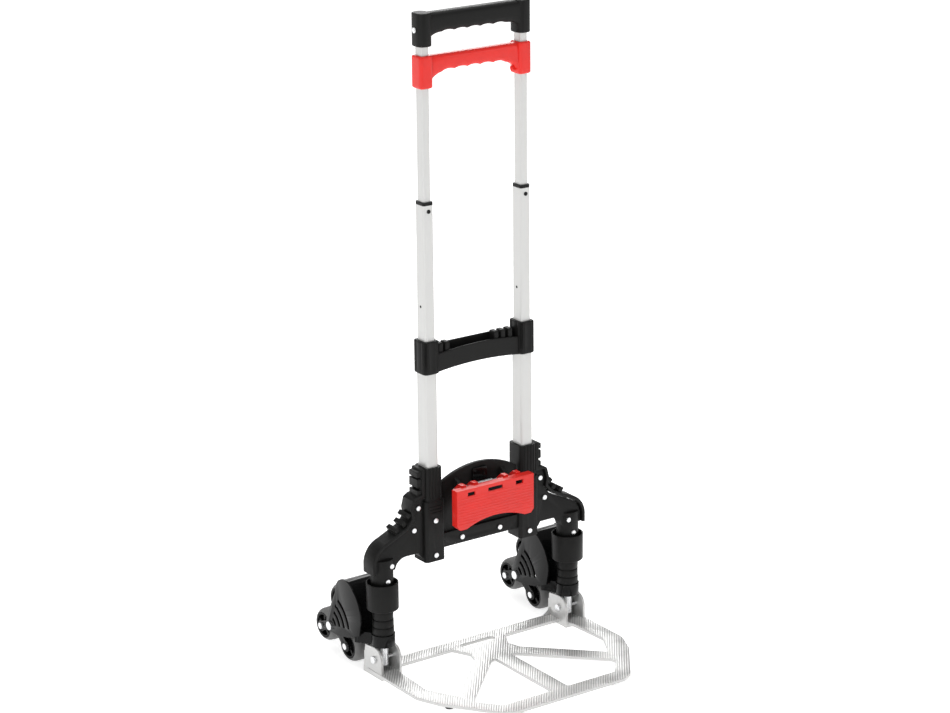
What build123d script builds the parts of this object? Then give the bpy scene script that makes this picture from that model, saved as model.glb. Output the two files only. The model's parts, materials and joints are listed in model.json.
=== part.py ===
from build123d import *
from math import cos, sin, radians
import os

os.makedirs("parts", exist_ok=True)

# Folding hand truck.  Millimetres, +Z up, floor at Z = 0, toe plate towards -Y, mirror plane X = 0.
# Every local Y below is measured from the axis of the two side posts.

# ---- overall layout
FRONT_Y = -254.0
AXLE_Y = 106.0
AXLE_Z = 54.0
STAR_R = 42.5
STAR_TILT = 218.5
TYRE_R = 27.0
REAR_Y = AXLE_Y + STAR_R * cos(radians(STAR_TILT + 120.0)) + TYRE_R
Y0 = -(FRONT_Y + REAR_Y) / 2.0
POST_X = 180.0
TUBE_X = 90.5

# ---- telescopic tubes: width along X, depth along Y
OUT_W, OUT_D, OUT_R = 22.0, 28.0, 4.6
MID_W, MID_D, MID_R = 18.4, 24.0, 3.6
INN_W, INN_D, INN_R = 13.8, 18.4, 3.0
WALL = 1.2
OUT_Z0, OUT_Z1 = 184.0, 536.0
MID_Z0, MID_Z1 = 398.0, 752.0
INN_Z0, INN_Z1 = 594.0, 1040.0

# ---- moulded base
SLEEVE_Z0, SLEEVE_Z1 = 176.0, 331.0
SLEEVE_W, SLEEVE_D = 31.0, 37.0
BLOCK_W, BLOCK_D, BLOCK_Z1 = 37.0, 38.0, 277.0
CROSS_Z0, CROSS_Z1 = 193.0, 216.0
PANEL_Y0, PANEL_T = -2.0, 6.0
PANEL_TOP = 320.0

# ---- rivets of the base: x, z and the local y of the face under each head, repeated on both sides
RIVETS = ((90.5, 186.4, -19.0), (90.5, 244.3, -19.0), (117.5, 268.3, -10.5), (126.0, 233.0, -10.5),
          (36.3, 203.0, -12.5), (171.3, 185.0, -14.5), (180.0, 161.4, -16.0))
RIVET_HEAD_R, RIVET_HEAD_H, RIVET_R, RIVET_SHANK = 4.1, 2.2, 2.2, 4.0
SPOT_R = 4.7

# ---- side posts
SHAFT_R = 8.0
POST_CAP_R = 18.0
COLLAR_R, COLLAR_Z0, COLLAR_Z1 = 25.6, 112.0, 157.0
STEP_RINGS = ((70.4, 82.0, 17.4), (82.0, 84.0, 16.0), (84.0, 95.0, 17.0), (95.0, 97.0, 15.6), (97.0, 112.0, 16.6))
RING_R, RING_Z0, RING_Z1 = 19.0, 50.8, 70.0
RUN_FIT = 0.08

# ---- toe plate
PLATE_TOP, PLATE_T = 9.5, 5.0
PIVOT_Y, PIVOT_Z = -2.0, 29.5
BOLT_R = 3.0
EAR_X, EAR_T = 19.2, 4.0
EAR_R = 20.6

# ---- wheel clusters
CLUSTER_X = 182.0
TYRE_W, HUB_W = 38.0, 37.0
TYRE_IN_R = 20.0
CARRIER_IN, CARRIER_OUT = 20.2, 23.2
FENDER_IN, FENDER_OUT = 27.6, 30.6
AXLE_R, WHEEL_PIN_R = 5.0, 3.5

# ---- catch and releases
CATCH_W, CATCH_Y0, CATCH_Y1 = 147.0, -40.5, -54.6
CATCH_Z0, CATCH_Z1 = 233.0, 298.4
CATCH_PIV_Y, CATCH_PIV_Z = -24.0, 290.0
CATCH_PIN_R = 2.0


def level(z):
    """Horizontal plane at height z, local X and Y along the truck's own."""
    return Plane(origin=(0, Y0, z), x_dir=(1, 0, 0), z_dir=(0, 0, 1))


def front(y):
    """Upright plane facing the toe plate: local X is X, local Y is height, extrudes to -Y."""
    return Plane(origin=(0, Y0 + y, 0), x_dir=(1, 0, 0), z_dir=(0, -1, 0))


def side(x):
    """Upright plane across the truck: local X is Y, local Y is height, extrudes to +X."""
    return Plane(origin=(x, Y0, 0), x_dir=(0, 1, 0), z_dir=(1, 0, 0))


def save(piece, name):
    """Label one piece and write it to the parts folder."""
    piece.part.label = name
    export_step(piece.part, "parts/" + name + ".step")


# ------------------------------------------------------------------ telescopic tubes
def tube(s, w, d, r, z0, z1):
    """Rounded rectangular tube with a constant wall."""
    with BuildPart() as piece:
        with BuildSketch(level(z0)):
            with Locations((s * TUBE_X, 0)):
                RectangleRounded(w, d, r)
                RectangleRounded(w - 2 * WALL, d - 2 * WALL, r - WALL, mode=Mode.SUBTRACT)
        extrude(amount=z1 - z0)
    return piece


for s, name in ((-1, "left"), (1, "right")):
    save(tube(s, OUT_W, OUT_D, OUT_R, OUT_Z0, OUT_Z1), name + "_outer_tube")
    save(tube(s, MID_W, MID_D, MID_R, MID_Z0, MID_Z1), name + "_mid_tube")
    save(tube(s, INN_W, INN_D, INN_R, INN_Z0, INN_Z1), name + "_inner_tube")

# Guide bushes: one pair inside the tops of the outer tubes, one pair on the feet of the middle tubes,
# one pair on the feet of the inner tubes, and the thin lips on top of the middle tubes.
OUT_CAV_W, OUT_CAV_D = OUT_W - 2 * WALL, OUT_D - 2 * WALL
MID_CAV_W, MID_CAV_D = MID_W - 2 * WALL, MID_D - 2 * WALL
INN_CAV_W, INN_CAV_D = INN_W - 2 * WALL, INN_D - 2 * WALL
GUIDE_GAP = 0.1
with BuildPart() as clamp_bushes:
    for s in (-1, 1):
        with BuildSketch(level(OUT_Z1)):
            with Locations((s * TUBE_X, 0)):
                RectangleRounded(OUT_W, OUT_D, OUT_R)
                RectangleRounded(MID_W + 2 * GUIDE_GAP, MID_D + 2 * GUIDE_GAP, MID_R, mode=Mode.SUBTRACT)
        extrude(amount=5.0)
save(clamp_bushes, "clamp_bushes")

with BuildPart() as mid_feet:
    for s in (-1, 1):
        with BuildSketch(level(MID_Z0 - 9.0)):
            with Locations((s * TUBE_X, 0)):
                RectangleRounded(OUT_CAV_W - 2 * GUIDE_GAP, OUT_CAV_D - 2 * GUIDE_GAP, OUT_R - WALL)
                Circle(4.5, mode=Mode.SUBTRACT)
        extrude(amount=9.0)
        with BuildSketch(level(MID_Z0)):
            with Locations((s * TUBE_X, 0)):
                RectangleRounded(MID_CAV_W, MID_CAV_D, MID_R - WALL)
                Circle(4.5, mode=Mode.SUBTRACT)
        extrude(amount=10.0)
save(mid_feet, "mid_feet")

with BuildPart() as inner_feet:
    for s in (-1, 1):
        with BuildSketch(level(INN_Z0 - 8.0)):
            with Locations((s * TUBE_X, 0)):
                RectangleRounded(MID_CAV_W - 2 * GUIDE_GAP, MID_CAV_D - 2 * GUIDE_GAP, MID_R - WALL)
        extrude(amount=8.0)
        with BuildSketch(level(INN_Z0)):
            with Locations((s * TUBE_X, 0)):
                RectangleRounded(INN_CAV_W, INN_CAV_D, INN_R - WALL)
        extrude(amount=26.0)
        # cross bore for the lock pin and a well for the release rod
        with BuildSketch(front(INN_D / 2 - WALL)):
            with Locations((s * TUBE_X, INN_Z0 + 10.0)):
                Circle(3.1)
        extrude(amount=INN_D - 2 * WALL, mode=Mode.SUBTRACT)
        with BuildSketch(level(INN_Z0 + 15.0)):
            with Locations((s * TUBE_X, 3.0)):
                Circle(3.4)
        extrude(amount=11.0, mode=Mode.SUBTRACT)
save(inner_feet, "inner_feet")

LIP_H = 5.0
with BuildPart() as mid_lips:
    for s in (-1, 1):
        with BuildSketch(level(MID_Z1)):
            with Locations((s * TUBE_X, 0)):
                RectangleRounded(MID_W, MID_D, MID_R)
                RectangleRounded(INN_W + 2 * GUIDE_GAP, INN_D + 2 * GUIDE_GAP, INN_R, mode=Mode.SUBTRACT)
        extrude(amount=LIP_H)
        with BuildSketch(level(MID_Z1 - 8.0)):
            with Locations((s * TUBE_X, 0)):
                RectangleRounded(MID_CAV_W, MID_CAV_D, MID_R - WALL)
                RectangleRounded(INN_W + 2 * GUIDE_GAP, INN_D + 2 * GUIDE_GAP, INN_R, mode=Mode.SUBTRACT)
        extrude(amount=8.0)
save(mid_lips, "mid_lips")

BUTTON_Z, BUTTON_R, BUTTON_H = 742.6, 3.2, 1.2
with BuildPart() as mid_buttons:
    for s in (-1, 1):
        with BuildSketch(front(-MID_D / 2)):
            with Locations((s * TUBE_X, BUTTON_Z)):
                Circle(BUTTON_R)
        extrude(amount=BUTTON_H)
    fillet(mid_buttons.faces().sort_by(Axis.Y)[0:2].edges(), 0.5)
save(mid_buttons, "mid_buttons")

# ------------------------------------------------------------------ top handle and its screws
CAP_Z0, CAP_Z1 = 996.0, 1046.5
CAP_W, CAP_D = 25.0, 31.0
GRIP_Z0, GRIP_Z1, GRIP_D = 1019.0, 1045.5, 25.0
WAVES, WAVE_PITCH, WAVE_R = 5, 24.0, 15.0
with BuildPart() as handle:
    with BuildSketch(level(CAP_Z0)):
        with Locations((-TUBE_X, 0), (TUBE_X, 0)):
            RectangleRounded(CAP_W, CAP_D, 6.5)
    extrude(amount=CAP_Z1 - CAP_Z0)
    with BuildSketch(side(-TUBE_X)):
        with Locations((0, (GRIP_Z0 + GRIP_Z1) / 2)):
            RectangleRounded(GRIP_D, GRIP_Z1 - GRIP_Z0, 9.0)
    extrude(amount=2 * TUBE_X)
    # gussets under the grip, running into the caps
    for s in (-1, 1):
        with BuildSketch(front(8.0)):
            with BuildLine():
                Polyline((s * (TUBE_X - CAP_W / 2 + 1), GRIP_Z0 + 3), (s * (TUBE_X - CAP_W / 2 + 1), CAP_Z0 + 2))
                ThreePointArc((s * (TUBE_X - CAP_W / 2 + 1), CAP_Z0 + 2), (s * (TUBE_X - 17.0), GRIP_Z0 - 7.0),
                              (s * (TUBE_X - 27.0), GRIP_Z0 + 0.5))
                Polyline((s * (TUBE_X - 27.0), GRIP_Z0 + 0.5), (s * (TUBE_X - 27.0), GRIP_Z0 + 3),
                         (s * (TUBE_X - CAP_W / 2 + 1), GRIP_Z0 + 3))
            make_face()
        extrude(amount=16.0)
    # finger waves along the underside
    with BuildSketch(front(GRIP_D / 2 + 1)):
        with GridLocations(WAVE_PITCH, 1, WAVES, 1):
            with Locations((0, GRIP_Z0 - WAVE_R + 2.6)):
                Circle(WAVE_R)
    extrude(amount=GRIP_D + 2, mode=Mode.SUBTRACT)
    # sockets that take the inner tubes
    with BuildSketch(level(CAP_Z0)):
        with Locations((-TUBE_X, 0), (TUBE_X, 0)):
            RectangleRounded(INN_W, INN_D, INN_R)
    extrude(amount=INN_Z1 - CAP_Z0, mode=Mode.SUBTRACT)
    # screw holes through the outer cheek of each cap
    with BuildSketch(side(-TUBE_X - CAP_W / 2)):
        with Locations((0, 1021.0)):
            Circle(2.4)
    extrude(amount=CAP_W / 2 - INN_W / 2, mode=Mode.SUBTRACT)
    with BuildSketch(side(TUBE_X + INN_W / 2)):
        with Locations((0, 1021.0)):
            Circle(2.4)
    extrude(amount=CAP_W / 2 - INN_W / 2, mode=Mode.SUBTRACT)
save(handle, "handle")

with BuildPart() as handle_screws:
    for s in (-1, 1):
        x_face = s * (TUBE_X + CAP_W / 2)
        with BuildSketch(side(x_face)):
            with Locations((0, 1021.0)):
                Circle(4.4)
        extrude(amount=s * 1.8)
        with BuildSketch(side(x_face)):
            with Locations((0, 1021.0)):
                Circle(2.4)
        extrude(amount=-s * (CAP_W / 2 - INN_W / 2))
save(handle_screws, "handle_screws")

# ------------------------------------------------------------------ red release grip, rods, springs, lock pins
TRIG_Z0, TRIG_Z1 = 932.0, 982.0
TRIG_W, TRIG_D = 23.0, 28.0
TRIG_BAR_Z0 = 956.0
TRIG_GAP = 0.35
with BuildPart() as release_grip:
    with BuildSketch(level(TRIG_Z0)):
        with Locations((-TUBE_X, 0), (TUBE_X, 0)):
            RectangleRounded(TRIG_W, TRIG_D, 5.5)
    extrude(amount=TRIG_Z1 - TRIG_Z0)
    with BuildSketch(front(9.0)):
        with BuildLine():
            Polyline((-TUBE_X, TRIG_BAR_Z0 - 6), (-TUBE_X, TRIG_Z1), (TUBE_X, TRIG_Z1), (TUBE_X, TRIG_BAR_Z0 - 6))
            ThreePointArc((TUBE_X, TRIG_BAR_Z0 - 6), (0, TRIG_BAR_Z0 + 2.5), (-TUBE_X, TRIG_BAR_Z0 - 6))
        make_face()
    extrude(amount=18.0)
    with BuildSketch(front(10.0)):
        with GridLocations(WAVE_PITCH, 1, WAVES, 1):
            with Locations((0, TRIG_BAR_Z0 - WAVE_R + 3.4)):
                Circle(WAVE_R)
    extrude(amount=20.0, mode=Mode.SUBTRACT)
    with BuildSketch(level(TRIG_Z0)):
        with Locations((-TUBE_X, 0), (TUBE_X, 0)):
            RectangleRounded(INN_W + 2 * TRIG_GAP, INN_D + 2 * TRIG_GAP, INN_R)
    extrude(amount=TRIG_Z1 - TRIG_Z0, mode=Mode.SUBTRACT)
    # small hook at the foot of the right sleeve
    with BuildSketch(front(3.0)):
        with BuildLine():
            Polyline((TUBE_X - TRIG_W / 2 + 1, TRIG_Z0 + 16), (TUBE_X - TRIG_W / 2 - 6, TRIG_Z0 + 9),
                     (TUBE_X - TRIG_W / 2 - 6, TRIG_Z0 + 5), (TUBE_X - TRIG_W / 2 + 1, TRIG_Z0 + 5), close=True)
        make_face()
    extrude(amount=6.0)
save(release_grip, "release_grip")

ROD_Z0, ROD_Z1 = INN_Z0 + 16.5, 940.0
with BuildPart() as release_rods:
    for s in (-1, 1):
        with BuildSketch(level(ROD_Z0)):
            with Locations((s * TUBE_X, 3.0)):
                Circle(2.4)
        extrude(amount=ROD_Z1 - ROD_Z0)
        with BuildSketch(level(ROD_Z1)):
            with Locations((s * TUBE_X, 0)):
                RectangleRounded(9.0, 13.0, 1.5)
        extrude(amount=8.0)
save(release_rods, "release_rods")

SPRING_Z0, SPRING_Z1, SPRING_R = 949.0, 1000.0, 4.2
with BuildPart() as release_springs:
    for s in (-1, 1):
        with BuildSketch(level(SPRING_Z0)):
            with Locations((s * TUBE_X, 0)):
                Circle(SPRING_R)
                Circle(SPRING_R - 1.0, mode=Mode.SUBTRACT)
        extrude(amount=SPRING_Z1 - SPRING_Z0)
save(release_springs, "release_springs")

PIN_LEN = 6.0
with BuildPart() as lock_pins:
    with BuildSketch(front(-INN_D / 2 + WALL + PIN_LEN)):
        with Locations((-TUBE_X, INN_Z0 + 10.0), (TUBE_X, INN_Z0 + 10.0)):
            Circle(3.0)
    extrude(amount=PIN_LEN)
save(lock_pins, "lock_pins")

# ------------------------------------------------------------------ clamp joining the tops of the outer tubes
CLAMP_Z0, CLAMP_Z1 = 484.0, 541.0
CLAMP_W, CLAMP_D = 29.0, 35.0
CLAMP_BAR_Z0, CLAMP_BAR_Z1 = 491.0, 531.0
with BuildPart() as mid_clamp:
    with BuildSketch(level(CLAMP_Z0)):
        with Locations((-TUBE_X, 0), (TUBE_X, 0)):
            RectangleRounded(CLAMP_W, CLAMP_D, 6.5)
    extrude(amount=CLAMP_Z1 - CLAMP_Z0)
    with BuildSketch(front(11.0)):
        with BuildLine():
            Polyline((-TUBE_X, CLAMP_BAR_Z0 - 2), (-TUBE_X, CLAMP_BAR_Z1), (TUBE_X, CLAMP_BAR_Z1),
                     (TUBE_X, CLAMP_BAR_Z0 - 2))
            ThreePointArc((TUBE_X, CLAMP_BAR_Z0 - 2), (0, CLAMP_BAR_Z0 + 7), (-TUBE_X, CLAMP_BAR_Z0 - 2))
        make_face()
    extrude(amount=22.0)
    # tray sunk into the top of the bar, behind a low front wall
    with BuildSketch(level(CLAMP_BAR_Z1 - 20.0)):
        with Locations((0, -1.0)):
            Rectangle(2 * TUBE_X - CLAMP_W - 6, 13.0)
    extrude(amount=22.0, mode=Mode.SUBTRACT)
    with BuildSketch(level(CLAMP_Z0)):
        with Locations((-TUBE_X, 0), (TUBE_X, 0)):
            RectangleRounded(OUT_W, OUT_D, OUT_R)
    extrude(amount=CLAMP_Z1 - CLAMP_Z0, mode=Mode.SUBTRACT)
    # small clips standing over the bar beside each sleeve
    with BuildSketch(level(CLAMP_BAR_Z1 - 1.0)):
        with Locations((-TUBE_X + CLAMP_W / 2 + 7, 9.0), (TUBE_X - CLAMP_W / 2 - 7, 9.0)):
            Rectangle(9.0, 3.0)
    extrude(amount=5.0)
save(mid_clamp, "mid_clamp")

# ------------------------------------------------------------------ moulded base: sleeves, blocks, arms, crossbar
FLUTE_R = 1.6
with BuildPart() as base_frame:
    with BuildSketch(level(BLOCK_Z1)):
        with Locations((-TUBE_X, 0), (TUBE_X, 0)):
            RectangleRounded(SLEEVE_W, SLEEVE_D, 7.0)
    extrude(amount=SLEEVE_Z1 - BLOCK_Z1)
    with BuildSketch(level(SLEEVE_Z0)):
        with Locations((-TUBE_X, 0), (TUBE_X, 0)):
            RectangleRounded(BLOCK_W, BLOCK_D, 6.0)
    extrude(amount=BLOCK_Z1 - SLEEVE_Z0)
    # outer flanges that carry the four cheek rivets
    for s in (-1, 1):
        with BuildSketch(front(8.0)):
            with BuildLine():
                Polyline((s * 100.0, 282.0), (s * 122.0, 282.0), (s * 127.0, 268.0), (s * 124.0, 252.0),
                         (s * 138.0, 236.0), (s * 158.0, 226.0), (s * 176.0, 218.0))
                ThreePointArc((s * 176.0, 218.0), (s * 192.0, 206.0), (s * 198.0, 186.0))
                Polyline((s * 198.0, 186.0), (s * 198.0, 176.0), (s * 162.0, 176.0))
                ThreePointArc((s * 162.0, 176.0), (s * 156.0, 187.0), (s * 140.0, 193.0))
                Polyline((s * 140.0, 193.0), (s * 118.0, 193.0))
                ThreePointArc((s * 118.0, 193.0), (s * 111.0, 184.0), (s * 100.0, 178.0))
                Line((s * 100.0, 178.0), (s * 100.0, 282.0))
            make_face()
        extrude(amount=18.5)
    # post caps under the arm ends
    with BuildSketch(level(150.0)):
        with Locations((-POST_X, 0), (POST_X, 0)):
            Circle(POST_CAP_R)
    extrude(amount=46.0)
    # crossbar
    with BuildSketch(front(10.0)):
        with Locations((0, (CROSS_Z0 + CROSS_Z1) / 2)):
            Rectangle(2 * TUBE_X, CROSS_Z1 - CROSS_Z0)
    extrude(amount=22.5)
    # sockets for the outer tubes, left open above a closed floor
    with BuildSketch(level(OUT_Z0)):
        with Locations((-TUBE_X, 0), (TUBE_X, 0)):
            RectangleRounded(OUT_W, OUT_D, OUT_R)
    extrude(amount=SLEEVE_Z1 - OUT_Z0, mode=Mode.SUBTRACT)
    # sockets for the post shafts
    with BuildSketch(level(150.0)):
        with Locations((-POST_X, 0), (POST_X, 0)):
            Circle(SHAFT_R)
    extrude(amount=32.0, mode=Mode.SUBTRACT)
    # vertical flutes on the sleeve fronts
    with BuildSketch(level(BLOCK_Z1 + 4.0)):
        with Locations((-TUBE_X, -SLEEVE_D / 2 - 0.5), (TUBE_X, -SLEEVE_D / 2 - 0.5)):
            with GridLocations(6.0, 1, 4, 1):
                Circle(FLUTE_R)
    extrude(amount=SLEEVE_Z1 - BLOCK_Z1, mode=Mode.SUBTRACT)
    # three horizontal grooves round the shoulder of each block
    with BuildSketch(front(-BLOCK_D / 2 + 0.8)):
        with Locations((-TUBE_X, 268.0), (-TUBE_X, 263.0), (-TUBE_X, 258.0),
                       (TUBE_X, 268.0), (TUBE_X, 263.0), (TUBE_X, 258.0)):
            Rectangle(BLOCK_W - 13.0, 1.6)
    extrude(amount=2.0, mode=Mode.SUBTRACT)
    # rivet holes, each with a flat seat for the rivet's head
    for x, z, y in RIVETS:
        for s in (-1, 1):
            with BuildSketch(front(y + RIVET_SHANK)):
                with Locations((s * x, z)):
                    Circle(RIVET_R)
            extrude(amount=RIVET_SHANK, mode=Mode.SUBTRACT)
            with BuildSketch(front(y)):
                with Locations((s * x, z)):
                    Circle(SPOT_R)
            extrude(amount=6.0, mode=Mode.SUBTRACT)
save(base_frame, "base_frame")

# Arched back panel between the sleeves, with the two ears of the catch hinge.
PANEL_X = TUBE_X - BLOCK_W / 2
with BuildPart() as back_panel:
    with BuildSketch(front(PANEL_Y0)):
        with BuildLine():
            Polyline((-PANEL_X, 300.0), (-PANEL_X, CROSS_Z1), (PANEL_X, CROSS_Z1), (PANEL_X, 300.0))
            ThreePointArc((PANEL_X, 300.0), (0, PANEL_TOP), (-PANEL_X, 300.0))
        make_face()
    extrude(amount=PANEL_T)
    with BuildSketch(side(-47.0)):
        with BuildLine():
            Polyline((PANEL_Y0 - PANEL_T, 303.0), (PANEL_Y0 - PANEL_T, 287.0), (CATCH_PIV_Y, 286.2))
            ThreePointArc((CATCH_PIV_Y, 286.2), (CATCH_PIV_Y - 3.8, CATCH_PIV_Z), (CATCH_PIV_Y, 293.8))
            Line((CATCH_PIV_Y, 293.8), (PANEL_Y0 - PANEL_T, 303.0))
        make_face()
    extrude(amount=6.0)
    mirror(about=Plane.YZ)
    with BuildSketch(side(-60.0)):
        with Locations((CATCH_PIV_Y, CATCH_PIV_Z)):
            Circle(CATCH_PIN_R)
    extrude(amount=120.0, mode=Mode.SUBTRACT)
    # slot the release tab slides in
    with BuildSketch(front(PANEL_Y0)):
        with Locations((0, 303.0)):
            Rectangle(17.0, 17.0)
    extrude(amount=PANEL_T, mode=Mode.SUBTRACT)
save(back_panel, "back_panel")

# Release tab: a plate in front of the panel, a neck through the slot and a retaining plate behind.
TAB_W, TAB_Z0, TAB_Z1 = 28.0, 289.5, 312.0
with BuildPart() as release_tab:
    with BuildSketch(front(PANEL_Y0 - PANEL_T - 0.4)):
        with Locations((0, (TAB_Z0 + TAB_Z1) / 2)):
            RectangleRounded(TAB_W, TAB_Z1 - TAB_Z0, 3.0)
    extrude(amount=3.4)
    with BuildSketch(front(PANEL_Y0 + 0.4)):
        with Locations((0, 305.5)):
            Rectangle(16.0, 11.0)
    extrude(amount=PANEL_T + 0.8)
    with BuildSketch(front(PANEL_Y0 + 2.8)):
        with Locations((0, 305.5)):
            Rectangle(24.0, 14.0)
    extrude(amount=2.4)
save(release_tab, "release_tab")

# Hook-fin guards: a curved rim outside each arm with fins that a cord can be hooked under.
FIN_SPOTS = ((323.0, 9.0), (309.0, 14.0), (293.0, 9.0))
GUARD_D = 30.0
for s, name in ((-1, "left"), (1, "right")):
    with BuildPart() as guard:
        with BuildSketch(front(GUARD_D / 2)):
            with BuildLine():
                Polyline((s * 106.0, 331.0), (s * 106.0, 283.0), (s * 124.0, 283.0), (s * 128.4, 268.0),
                         (s * 125.4, 253.0), (s * 139.0, 238.0), (s * 159.0, 228.0), (s * 177.0, 220.0))
                ThreePointArc((s * 177.0, 220.0), (s * 193.8, 207.4), (s * 200.0, 187.0))
                Polyline((s * 200.0, 187.0), (s * 200.0, 175.0), (s * 205.0, 175.0), (s * 205.0, 187.0))
                ThreePointArc((s * 205.0, 187.0), (s * 198.0, 211.0), (s * 179.0, 225.0))
                Polyline((s * 179.0, 225.0), (s * 161.0, 233.0), (s * 142.0, 242.0), (s * 131.0, 254.0),
                         (s * 133.0, 268.0), (s * 129.0, 284.0), (s * 121.0, 289.0), (s * 112.0, 290.0),
                         (s * 112.0, 331.0), (s * 106.0, 331.0))
            make_face()
        extrude(amount=GUARD_D)
        # fins standing off the sleeve
        with BuildSketch(front(GUARD_D / 2 - 3)):
            for z, h in FIN_SPOTS:
                with Locations((s * 114.5, z)):
                    Rectangle(9.0, h)
        extrude(amount=GUARD_D - 6)
        # fins standing off the shoulder, each leaning outwards
        with BuildSketch(front(GUARD_D / 2 - 3)):
            for x, z, a in ((136.5, 259.5, 38.0), (144.5, 247.5, 50.0), (158.5, 239.5, 58.0)):
                with Locations(Location((s * x, z), s * a)):
                    Rectangle(9.0, 8.0)
        extrude(amount=GUARD_D - 6)
    save(guard, name + "_guard")

# Post shafts, collars and stepped sleeves.
for s, name in ((-1, "left"), (1, "right")):
    with BuildPart() as shaft:
        with BuildSketch(level(17.0)):
            with Locations((s * POST_X, 0)):
                Circle(SHAFT_R)
        extrude(amount=165.0)
        with BuildSketch(side(s * POST_X - SHAFT_R)):
            with Locations((PIVOT_Y, PIVOT_Z)):
                Circle(BOLT_R + RUN_FIT)
        extrude(amount=2 * SHAFT_R, mode=Mode.SUBTRACT)
    save(shaft, name + "_post_shaft")
    with BuildPart() as collar:
        with BuildSketch(level(COLLAR_Z0)):
            with Locations((s * POST_X, 0)):
                Circle(COLLAR_R)
                Circle(SHAFT_R, mode=Mode.SUBTRACT)
        extrude(amount=COLLAR_Z1 - COLLAR_Z0)
        with BuildSketch(level(COLLAR_Z0 + 22.0)):
            with Locations((s * POST_X, 0)):
                Circle(COLLAR_R - 1.8)
        extrude(amount=COLLAR_Z1 - COLLAR_Z0, mode=Mode.SUBTRACT)
        chamfer(collar.faces().sort_by(Axis.Z)[0].edges().sort_by(SortBy.RADIUS)[-1], 1.5)
    save(collar, name + "_collar")
    with BuildPart() as step_sleeve:
        for z0, z1, r in STEP_RINGS:
            with BuildSketch(level(z0)):
                with Locations((s * POST_X, 0)):
                    Circle(r)
                    Circle(SHAFT_R, mode=Mode.SUBTRACT)
            extrude(amount=z1 - z0)
    save(step_sleeve, name + "_step_sleeve")

# Snap rings that keep the wheel carriers up on the post shafts.
with BuildPart() as post_rings:
    with BuildSketch(level(47.4)):
        with Locations((-POST_X, 0), (POST_X, 0)):
            Circle(10.6)
            Circle(SHAFT_R, mode=Mode.SUBTRACT)
    extrude(amount=3.0)
save(post_rings, "post_rings")

# Rivets: round heads on short shanks that fill the frame's rivet holes.
with BuildPart() as base_rivets:
    for x, z, y in RIVETS:
        for s in (-1, 1):
            with BuildSketch(front(y)):
                with Locations((s * x, z)):
                    Circle(RIVET_HEAD_R)
            extrude(amount=RIVET_HEAD_H)
            with BuildSketch(front(y + RIVET_SHANK)):
                with Locations((s * x, z)):
                    Circle(RIVET_R)
            extrude(amount=RIVET_SHANK)
save(base_rivets, "base_rivets")

# ------------------------------------------------------------------ red catch, its pin and spring
with BuildPart() as catch_pin:
    with BuildSketch(side(-60.0)):
        with Locations((CATCH_PIV_Y, CATCH_PIV_Z)):
            Circle(CATCH_PIN_R)
    extrude(amount=120.0)
save(catch_pin, "catch_pin")

CATCH_WALL = 3.0
CATCH_SLOT_Z = 289.6
with BuildPart() as catch_cover:
    with BuildSketch(front(CATCH_Y0)):
        with BuildLine():
            Polyline((-CATCH_W / 2, CATCH_Z1), (CATCH_W / 2, CATCH_Z1), (CATCH_W / 2, CATCH_Z0 + 6))
            Polyline((CATCH_W / 2, CATCH_Z0 + 6), (CATCH_W / 2 - 6, CATCH_Z0), (CATCH_W / 2 - 18, CATCH_Z0))
            ThreePointArc((CATCH_W / 2 - 18, CATCH_Z0), (0, CATCH_Z0 + 12), (-CATCH_W / 2 + 18, CATCH_Z0))
            Polyline((-CATCH_W / 2 + 18, CATCH_Z0), (-CATCH_W / 2 + 6, CATCH_Z0), (-CATCH_W / 2, CATCH_Z0 + 6),
                     (-CATCH_W / 2, CATCH_Z1))
        make_face()
    extrude(amount=CATCH_Y0 - CATCH_Y1)
    # hollow back
    with BuildSketch(front(CATCH_Y0)):
        with Locations((0, (CATCH_Z0 + CATCH_Z1) / 2 + 6)):
            Rectangle(CATCH_W - 2 * CATCH_WALL, CATCH_Z1 - CATCH_Z0 - 12 - 2 * CATCH_WALL)
    extrude(amount=CATCH_Y0 - CATCH_Y1 - CATCH_WALL, mode=Mode.SUBTRACT)
    # three slots near the top
    with BuildSketch(front(CATCH_Y1 + CATCH_WALL + 1)):
        with Locations((-46.0, CATCH_SLOT_Z), (46.0, CATCH_SLOT_Z)):
            Rectangle(14.0, 6.5)
        with Locations((0, CATCH_SLOT_Z)):
            Rectangle(28.0, 6.5)
    extrude(amount=CATCH_WALL + 2, mode=Mode.SUBTRACT)
    # raised tabs on the top wall, running back and down to the hinge knuckles
    for x in (-56.0, -33.0, 25.0, 48.0):
        with BuildSketch(side(x)):
            with BuildLine():
                Polyline((CATCH_PIV_Y - 3.4, 288.8), (-33.0, 295.8), (CATCH_Y0 - 2, 295.8),
                         (CATCH_Y0 - 2, 301.4), (-32.0, 301.4), (CATCH_PIV_Y + 3.2, 291.7))
                ThreePointArc((CATCH_PIV_Y + 3.2, 291.7), (CATCH_PIV_Y + 0.9, 286.5), (CATCH_PIV_Y - 3.4, 288.8))
            make_face()
        extrude(amount=8.0)
    with BuildSketch(side(-60.0)):
        with Locations((CATCH_PIV_Y, CATCH_PIV_Z)):
            Circle(CATCH_PIN_R + RUN_FIT)
    extrude(amount=120.0, mode=Mode.SUBTRACT)
save(catch_cover, "catch_cover")

with BuildPart() as catch_spring:
    with BuildSketch(side(-14.0)):
        with Locations((CATCH_PIV_Y, CATCH_PIV_Z)):
            Circle(4.0)
            Circle(CATCH_PIN_R + 0.4, mode=Mode.SUBTRACT)
    extrude(amount=28.0)
save(catch_spring, "catch_spring")

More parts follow.
